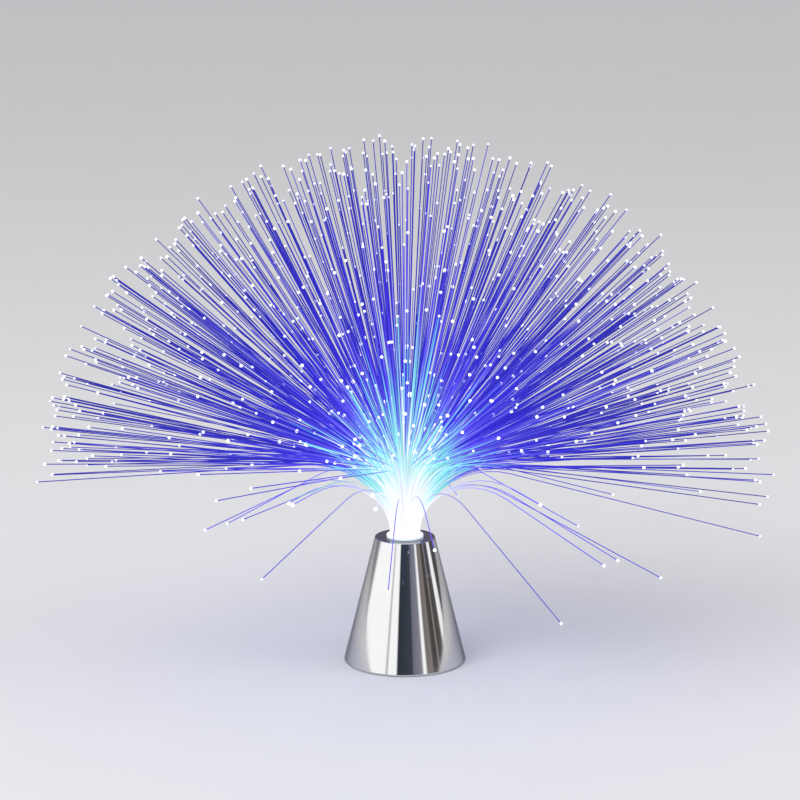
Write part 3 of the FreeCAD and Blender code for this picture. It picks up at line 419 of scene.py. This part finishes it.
for wire_name, dark, light in (("red_wires", (0.42, 0.015, 0.015), (0.62, 0.04, 0.035)),
                               ("black_wires", (0.012, 0.012, 0.013), (0.03, 0.03, 0.032))):
    insulation, tree, shader = start_finish(wire_name + "_insulation", light, 0.4)
    handled = grain(tree, 2.5, 4.0)
    join(tree, blend_colours(tree, handled, dark, light), shader, "Base Color")
    join(tree, spread(tree, handled, 0.32, 0.5), shader, "Roughness")
    dress(insulation, wire_name)


# ---- fibres ----
# Some eleven hundred half-millimetre strands of drawn acrylic, cut in a range of lengths, bound below and
# fanned out by their own spring. Each leaks light at its side, white and cyan near the sleeve and blue
# further out. The cyan reaches further at the front, above the green and blue lights.

FIBRE_PITCH, BUNDLE_RADIUS, FIBRE_DIAMETER = 0.525, 9.25, 0.5
FIBRE_FOOT, LONGEST, SIDE_CUT = 46.0, 250.0, 3.0
EARLY_BEND, EARLY_TURN, LATE_BEND = 26.0, 0.4, 52.0
WIDEST_LEAN, FRONT_LIFT, SIDE_GATHER = math.radians(98), 0.24, 0.22
LOOSE_FROM, LOOSE_SHARE, LOOSE_LEAN = 0.85, 0.12, math.radians(26)
OUTERMOST, LEAN_POWER, LEAST_LEAN = 1.04, 1.3, math.radians(0.8)
MIDDLE_SHORT, FEWER_SHORT, SHORT_LIFT = 0.22, 0.07, 0.10
LENGTH_BANDS = (  # draws up to here get this least and most share of the full length
    (0.55, 0.94, 1.00),
    (0.76, 0.78, 0.94),
    (0.91, 0.50, 0.78),
    (2.00, 0.25, 0.50),
)
LOOSE_BAND = (0.28, 0.78)
GROWN_BAND = (0.30, 0.70)  # shares of the full length between which the lift sets in
END_RADIUS, END_SEGMENTS, END_RINGS = 0.95, 8, 5
END_LEAST = 0.7  # the smallest bright end, as a share of the largest
SHORT_END, SHORT_LENGTH, LONG_LENGTH = 1.35, 90, 200  # short fibres lose less light, so their ends look larger
STEPS, RISE_STEPS, EARLY_STEPS, LATE_STEPS = 14, 1, 6, 13  # points along a fibre, and where its parts end
EARLY_MOST, LATE_MOST = 0.30, 0.55  # the bends of a short fibre, as shares of its length
SIDES, SIDE_RADIUS = 5, 0.6  # a strand's section, its radius as a share of the diameter


def scatter(number, channel):
    """A repeatable share from 0 to 1 for each fibre."""
    wave = math.sin(number * 12.9898 + channel * 78.233) * 43758.5453
    return wave - math.floor(wave)


def bundle_places():
    """Fibre axes in the sleeve, packed in a hexagonal pattern, in millimetres."""
    row_gap = FIBRE_PITCH * math.sqrt(0.75)
    rows = int(BUNDLE_RADIUS / row_gap) + 1
    columns = int(BUNDLE_RADIUS / FIBRE_PITCH) + 2
    for j in range(-rows, rows + 1):
        for k in range(-columns, columns + 1):
            x = FIBRE_PITCH * (k + 0.5 * (j % 2) + 0.25)
            y = row_gap * (j + 1 / 3)
            if math.hypot(x, y) <= BUNDLE_RADIUS:
                yield x, y


def lean_and_length(number, x, y):
    """Which way a fibre falls, how far from upright it ends and how long it is outside the sleeve."""
    loose = 0.4 * FIBRE_PITCH / BUNDLE_RADIUS
    u = x / BUNDLE_RADIUS
    v = y / BUNDLE_RADIUS
    # small waves part the fibres into tufts
    across = u + 0.018 * math.sin(17.6 * v + 0.7) + 0.012 * math.sin(39.8 * u + 19.4 * v)
    along = v + 0.018 * math.sin(15.7 * u + 2.9) + 0.012 * math.sin(34.2 * v - 24.1 * u + 1)
    across += loose * (scatter(number, 1) - 0.5)
    along += loose * (scatter(number, 2) - 0.5)
    out = min(OUTERMOST, across ** 2 + along ** 2)
    side = math.atan2(along, across)
    if out > LOOSE_FROM and scatter(number, 5) < LOOSE_SHARE:
        lean = WIDEST_LEAN + LOOSE_LEAN * scatter(number, 7)
        least, most = LOOSE_BAND
        return side, lean, LONGEST * (least + (most - least) * scatter(number, 4))
    azimuth = side - SIDE_GATHER * math.sin(2 * side)
    azimuth += 0.06 * math.sin(4 * side + 1.3) + 0.03 * math.sin(9 * side)
    lean = math.acos(1 - out ** LEAN_POWER * (1 - math.cos(WIDEST_LEAN)))
    lean *= 1 + (0.05 * math.sin(3 * side + 0.8) + 0.035 * math.sin(7 * side + 2)) * out
    lean = max(lean, LEAST_LEAN)
    long = LONGEST - SIDE_CUT * math.sin(min(lean, math.pi / 2)) ** 2
    draw = scatter(number, 3) + MIDDLE_SHORT * (1 - out) - FEWER_SHORT  # the middle has more short ones
    least, most = next(band[1:] for band in LENGTH_BANDS if draw < band[0])
    share = most - (most - least) * scatter(number, 4)
    least, most = GROWN_BAND
    grown = min(1, max(0, share - least) / (most - least))
    lean *= 1 - FRONT_LIFT * math.sin(side) ** 2 * out * grown
    lean *= 1 - SHORT_LIFT + SHORT_LIFT * grown  # a short fibre droops less
    return azimuth, lean, long * share


places = list(bundle_places())
azimuths, leans, lengths = zip(*(lean_and_length(number, x, y) for number, (x, y) in enumerate(places)))
foot_mesh = bpy.data.meshes.new("fibre_feet")
foot_mesh.from_pydata([(x * MM, y * MM, 0.0) for x, y in places], [], [])
for label, numbers in (("azimuth", azimuths), ("lean", leans), ("length", [long * MM for long in lengths]),
                       ("lot", [scatter(number, 6) for number in range(len(places))]),
                       ("dose", [scatter(number, 9) for number in range(len(places))])):
    column = foot_mesh.attributes.new(label, "FLOAT", "POINT")
    column.data.foreach_set("value", numbers)

spray_tree = bpy.data.node_groups.new("fibre_spray_rule", "GeometryNodeTree")
face = spray_tree.interface
face.new_socket(name="Feet", in_out="INPUT", socket_type="NodeSocketGeometry")
sizes = {}
for label, kind, first in (("Sleeve top", "NodeSocketFloat", SLEEVE_TOP * MM),
                           ("Foot", "NodeSocketFloat", FIBRE_FOOT * MM),
                           ("Early bend", "NodeSocketFloat", EARLY_BEND * MM),
                           ("Early turn", "NodeSocketFloat", EARLY_TURN),
                           ("Late bend", "NodeSocketFloat", LATE_BEND * MM),
                           ("Diameter", "NodeSocketFloat", FIBRE_DIAMETER * MM),
                           ("End radius", "NodeSocketFloat", END_RADIUS * MM),
                           ("Ends", "NodeSocketBool", False),
                           ("Finish", "NodeSocketMaterial", None)):
    socket = face.new_socket(name=label, in_out="INPUT", socket_type=kind)
    if first is not None:
        socket.default_value = first
    sizes[label] = socket.identifier
face.new_socket(name="Spray", in_out="OUTPUT", socket_type="NodeSocketGeometry")

given = spray_tree.nodes.new("NodeGroupInput").outputs


def work(operation, *feeds):
    """One step of sums in the spray's rule."""
    return math_node(spray_tree, operation, *feeds)


def fact(label):
    """A value kept for each fibre."""
    made = add_node(spray_tree, "GeometryNodeInputNamedAttribute", ("Name", label), data_type="FLOAT")
    return made.outputs["Attribute"]


def stage_of(step, start, end):
    """How far a point has come through one stretch of the fibre, from 0 to 1."""
    made = add_node(spray_tree, "ShaderNodeMapRange", ("Value", step), ("From Min", start), ("From Max", end))
    return made.outputs["Result"]


rod_line = add_node(spray_tree, "GeometryNodeCurvePrimitiveLine", ("End", (0, 0, 1)))
divided = add_node(spray_tree, "GeometryNodeResampleCurve", ("Curve", rod_line.outputs[0]),
                   ("Count", STEPS + 1))
planted = add_node(spray_tree, "GeometryNodeInstanceOnPoints", ("Points", given["Feet"]),
                   ("Instance", divided.outputs[0]))
upright = add_node(spray_tree, "GeometryNodeRealizeInstances", ("Geometry", planted.outputs[0]))
factor = add_node(spray_tree, "GeometryNodeSplineParameter").outputs["Factor"]
step = work("MULTIPLY", factor, float(STEPS))
azimuth, lean, length = fact("azimuth"), fact("lean"), fact("length")
shown_length = work("SUBTRACT", length, given["End radius"])
first_run = work("MINIMUM", given["Early bend"], work("MULTIPLY", length, EARLY_MOST))
second_run = work("MINIMUM", given["Late bend"], work("MULTIPLY", length, LATE_MOST))
last_run = work("SUBTRACT", shown_length, work("ADD", first_run, second_run))
first_turn = work("MULTIPLY", lean, given["Early turn"])
second_turn = work("SUBTRACT", lean, first_turn)
first_radius = work("DIVIDE", first_run, first_turn)
second_radius = work("DIVIDE", second_run, second_turn)
rise_share = stage_of(step, 0, RISE_STEPS)
first_share = stage_of(step, RISE_STEPS, EARLY_STEPS)
second_share = stage_of(step, EARLY_STEPS, LATE_STEPS)
last_share = stage_of(step, LATE_STEPS, STEPS)
first_angle = work("MULTIPLY", first_turn, first_share)
second_angle = work("MULTIPLY_ADD", second_turn, second_share, first_turn)
last_reach = work("MULTIPLY", last_run, last_share)
out = work("MULTIPLY", first_radius, work("SUBTRACT", 1.0, work("COSINE", first_angle)))
swing = work("SUBTRACT", work("COSINE", first_turn), work("COSINE", second_angle))
out = work("MULTIPLY_ADD", second_radius, swing, out)
out = work("MULTIPLY_ADD", last_reach, work("SINE", lean), out)
up = work("MULTIPLY", first_radius, work("SINE", first_angle))
climb = work("SUBTRACT", work("SINE", second_angle), work("SINE", first_turn))
up = work("MULTIPLY_ADD", second_radius, climb, up)
up = work("MULTIPLY_ADD", last_reach, work("COSINE", lean), up)
tail = work("MULTIPLY", work("SUBTRACT", given["Sleeve top"], given["Foot"]), rise_share)
up = work("ADD", up, work("ADD", given["Foot"], tail))
here = add_node(spray_tree, "ShaderNodeSeparateXYZ",
                ("Vector", add_node(spray_tree, "GeometryNodeInputPosition").outputs[0]))
bent_place = add_node(spray_tree, "ShaderNodeCombineXYZ",
                      ("X", work("MULTIPLY_ADD", out, work("COSINE", azimuth), here.outputs["X"])),
                      ("Y", work("MULTIPLY_ADD", out, work("SINE", azimuth), here.outputs["Y"])), ("Z", up))
distance = work("MULTIPLY_ADD", second_run, second_share, work("MULTIPLY", first_run, first_share))
distance = work("ADD", distance, last_reach)
marked = add_node(spray_tree, "GeometryNodeStoreNamedAttribute", ("Geometry", upright.outputs[0]),
                  ("Name", "distance"), ("Value", distance), data_type="FLOAT", domain="POINT")
bent = add_node(spray_tree, "GeometryNodeSetPosition", ("Geometry", marked.outputs[0]),
                ("Position", bent_place.outputs[0]))
section = add_node(spray_tree, "GeometryNodeCurvePrimitiveCircle", ("Resolution", SIDES),
                   ("Radius", work("MULTIPLY", given["Diameter"], SIDE_RADIUS)))
swept = add_node(spray_tree, "GeometryNodeCurveToMesh", ("Curve", bent.outputs[0]),
                 ("Profile Curve", section.outputs[0]), ("Fill Caps", True))
last_point = add_node(spray_tree, "GeometryNodeCurveEndpointSelection", ("Start Size", 0), ("End Size", 1))
kept_light = spread(spray_tree, length, SHORT_END, 1.0, SHORT_LENGTH * MM, LONG_LENGTH * MM)
bead = add_node(spray_tree, "GeometryNodeMeshUVSphere", ("Segments", END_SEGMENTS), ("Rings", END_RINGS),
                ("Radius", given["End radius"]))
bead_share = work("MULTIPLY_ADD", fact("lot"), 1 - END_LEAST, END_LEAST)
beads = add_node(spray_tree, "GeometryNodeInstanceOnPoints", ("Points", bent.outputs[0]),
                 ("Selection", last_point.outputs[0]), ("Instance", bead.outputs[0]),
                 ("Scale", work("MULTIPLY", bead_share, kept_light)))
chosen = add_node(spray_tree, "GeometryNodeSwitch", ("Switch", given["Ends"]), ("False", swept.outputs[0]),
                  ("True", beads.outputs[0]), input_type="GEOMETRY")
real = add_node(spray_tree, "GeometryNodeRealizeInstances", ("Geometry", chosen.outputs[0]))
smooth = add_node(spray_tree, "GeometryNodeSetShadeSmooth", ("Geometry", real.outputs[0]))
coated = add_node(spray_tree, "GeometryNodeSetMaterial", ("Geometry", smooth.outputs[0]),
                  ("Material", given["Finish"]))
result = spray_tree.nodes.new("NodeGroupOutput")
spray_tree.links.new(coated.outputs[0], result.inputs[0])


def grown(name, ends, finish):
    """Runs the spray's rule once and keeps its result as a plain mesh."""
    holder = bpy.data.objects.new(name, foot_mesh.copy())
    bpy.context.scene.collection.objects.link(holder)
    rule = holder.modifiers.new("spray", "NODES")
    rule.node_group = spray_tree
    rule[sizes["Ends"]] = ends
    rule[sizes["Finish"]] = finish
    ready = holder.evaluated_get(bpy.context.evaluated_depsgraph_get())
    mesh = bpy.data.meshes.new_from_object(ready)
    holder.modifiers.remove(rule)
    holder.data = mesh
    mesh.name = name
    return holder


def srgb(red, green, blue):
    """A colour given in bytes, as light."""
    return tuple(((c / 255 + 0.055) / 1.055) ** 2.4 if c > 10 else c / 255 / 12.92 for c in (red, green, blue))


FULL_REACH = 0.25  # metres of fibre over which the colours run
LEVEL, HANGING = 1.74, 1.9  # leans, in radians, between which a fibre starts to hang

lit_acrylic, tree, shader = start_finish("lit_acrylic", (0.02, 0.02, 0.08), 0.3)
travelled, own_length, azimuth, lot, dose, lean = [
    add_node(tree, "ShaderNodeAttribute", attribute_name=label).outputs["Fac"]
    for label in ("distance", "length", "azimuth", "lot", "dose", "lean")]
short_pace = spread(tree, own_length, 0.38, 1.0, 0.10, 0.17)
front_pace = spread(tree, math_node(tree, "SINE", azimuth), 0.46, 1.0, -0.85, -0.30)
pace = math_node(tree, "MULTIPLY", short_pace, front_pace)
pace = math_node(tree, "MULTIPLY", pace, spread(tree, lean, 0.84, 1.0, 0.25, 1.0))
pace = math_node(tree, "MULTIPLY", pace, spread(tree, lot, 0.80, 1.12, 0.0, 0.5))
paced = math_node(tree, "MULTIPLY", travelled, pace)
leak = ramp(tree, math_node(tree, "DIVIDE", paced, FULL_REACH), [
    (0.0, srgb(255, 255, 255)), (0.056, srgb(250, 254, 255)), (0.092, srgb(218, 250, 252)),
    (0.128, srgb(152, 238, 238)), (0.164, srgb(122, 220, 228)), (0.192, srgb(114, 166, 236)),
    (0.22, srgb(100, 84, 240)), (0.26, srgb(70, 50, 228)), (0.32, srgb(48, 37, 212)),
    (0.42, srgb(38, 30, 196)), (0.60, srgb(32, 26, 178)), (1.0, srgb(29, 25, 160)),
])
hanging = ramp(tree, math_node(tree, "DIVIDE", travelled, FULL_REACH), [
    (0.0, srgb(255, 255, 255)), (0.12, srgb(240, 244, 255)), (0.2, srgb(176, 178, 255)),
    (0.32, srgb(120, 112, 250)), (0.5, srgb(84, 74, 236)), (1.0, srgb(58, 50, 210)),
])
leak = blend_colours(tree, spread(tree, lean, 0.0, 1.0, LEVEL, HANGING), leak, hanging)
brighter = blend_colours(tree, spread(tree, dose, 0.0, 0.35, 0.86, 1.0), leak, srgb(150, 145, 255))
far = spread(tree, travelled, 0.0, 1.0, 0.015, 0.05)
dimmer = math_node(tree, "MULTIPLY", far, spread(tree, dose, 0.30, -0.05, 0.0, 0.6))
dimmed = add_node(tree, "ShaderNodeVectorMath", (0, brighter),
                  ("Scale", math_node(tree, "SUBTRACT", 1.0, dimmer)), operation="SCALE")
join(tree, dimmed.outputs[0], shader, "Emission Color")
shader.inputs["Emission Strength"].default_value = 1.0
shader.inputs["Specular IOR Level"].default_value = 0.15
strands = grown("fibre_strands", False, lit_acrylic)
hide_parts("fibre_spray")
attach(strands, "base")

bright_end, tree, shader = start_finish("bright_fibre_end", (0.75, 0.8, 0.95), 0.3)
lot = add_node(tree, "ShaderNodeAttribute", attribute_name="lot").outputs["Fac"]
end_light = ramp(tree, lot, [
    (0.0, srgb(205, 212, 255)), (0.5, srgb(236, 240, 255)), (1.0, srgb(255, 255, 255)),
])
join(tree, end_light, shader, "Emission Color")
shader.inputs["Emission Strength"].default_value = 1.0
ends = grown("fibre_ends", True, bright_end)
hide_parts("fibre_spray")
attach(ends, "base")


# ---- floor and light ----
# A plain pale floor reaches past the picture on all sides. The light is soft and even, with one broad
# lamp above the left shoulder and a weaker one at the right. Polished metal sees a studio's
# white and dark walls.

FLOOR_RADIUS = 14.0
LAMP_AIM = (0, 0, 0.15)

floor_paint, tree, shader = start_finish("floor_paint", (0.84, 0.84, 0.85), 0.7)
paint = blend_colours(tree, grain(tree, 60, 3.0), (0.83, 0.83, 0.84), (0.86, 0.86, 0.87))
join(tree, paint, shader, "Base Color")
shader.inputs["Specular IOR Level"].default_value = 0.1
shape = bmesh.new()
bmesh.ops.create_circle(shape, cap_ends=True, segments=96, radius=FLOOR_RADIUS)
floor = finished_piece("floor", shape, floor_paint)

studio = bpy.data.worlds.new("studio")
studio.use_nodes = True
tree = studio.node_tree
tree.nodes.clear()
direction = add_node(tree, "ShaderNodeTexCoord").outputs["Generated"]
way = add_node(tree, "ShaderNodeSeparateXYZ", ("Vector", direction)).outputs
turned_to = math_node(tree, "ARCTAN2", way["X"], math_node(tree, "MULTIPLY", way["Y"], -1.0))
round_share = spread(tree, turned_to, 0.0, 1.0, -math.pi, math.pi)
WHITE_WALL = (1.4, 1.4, 1.4)
WALL_STOPS = (  # degrees round from the front, and the wall's colour there
    (-180, (0.27, 0.25, 0.34)), (-130, (0.27, 0.26, 0.32)), (-108, (0.40, 0.40, 0.41)), (-98, WHITE_WALL),
    (-38, WHITE_WALL), (-36, (0.75, 0.75, 0.77)), (-33, (0.75, 0.75, 0.77)), (-31, WHITE_WALL),
    (-17, WHITE_WALL), (-14, (0.04, 0.05, 0.068)), (14, (0.06, 0.074, 0.095)), (17, (0.22, 0.22, 0.29)),
    (33, (0.32, 0.32, 0.39)), (36, WHITE_WALL), (40, WHITE_WALL), (43, (0.24, 0.21, 0.20)),
    (54, (0.32, 0.28, 0.26)), (57, (0.10, 0.09, 0.09)), (66, (0.09, 0.08, 0.08)), (69, (0.42, 0.38, 0.36)),
    (72, (0.10, 0.09, 0.09)), (84, (0.12, 0.11, 0.10)), (88, WHITE_WALL), (97, (1.2, 1.2, 1.2)),
    (102, (0.08, 0.08, 0.085)), (128, (0.14, 0.14, 0.15)), (150, (0.27, 0.25, 0.34)),
    (180, (0.27, 0.25, 0.34)),
)
walls = ramp(tree, round_share, [((degrees + 180) / 360, colour) for degrees, colour in WALL_STOPS])
ray = add_node(tree, "ShaderNodeLightPath")
plain_sky = blend_colours(tree, ray.outputs["Is Camera Ray"], (0.62, 0.62, 0.63), (0.60, 0.60, 0.61))
seen = blend_colours(tree, ray.outputs["Is Glossy Ray"], plain_sky, walls)
sky = add_node(tree, "ShaderNodeBackground", ("Color", seen), ("Strength", 1.0))
add_node(tree, "ShaderNodeOutputWorld", ("Surface", sky.outputs[0]))
bpy.context.scene.world = studio


def soft_lamp(name, place, aim, width, power):
    """A broad square lamp that points at a place."""
    lamp = bpy.data.lights.new(name, "AREA")
    lamp.size = width
    lamp.energy = power
    holder = bpy.data.objects.new(name, lamp)
    bpy.context.scene.collection.objects.link(holder)
    holder.location = place
    away = Vector(place) - Vector(aim)
    holder.rotation_euler = away.to_track_quat("Z", "Y").to_euler()
    holder.visible_glossy = False


soft_lamp("shoulder_lamp", (-1.3, -1.2, 2.0), LAMP_AIM, 1.4, 26)
soft_lamp("side_lamp", (1.8, -0.4, 1.2), LAMP_AIM, 1.2, 8)

FOCAL_LENGTH, SENSOR = 134.46, 36.0
CAMERA_PLACE, LOOKS_DOWN = (-0.0031, -1.8, 0.5696), 12.61
lens = bpy.data.cameras.new("camera")
lens.lens = FOCAL_LENGTH
lens.sensor_width = SENSOR
camera = bpy.data.objects.new("camera", lens)
bpy.context.scene.collection.objects.link(camera)
camera.location = CAMERA_PLACE
camera.rotation_euler = (math.radians(90 - LOOKS_DOWN), 0, 0)
bpy.context.scene.camera = camera
bpy.context.scene.view_settings.view_transform = "Standard"
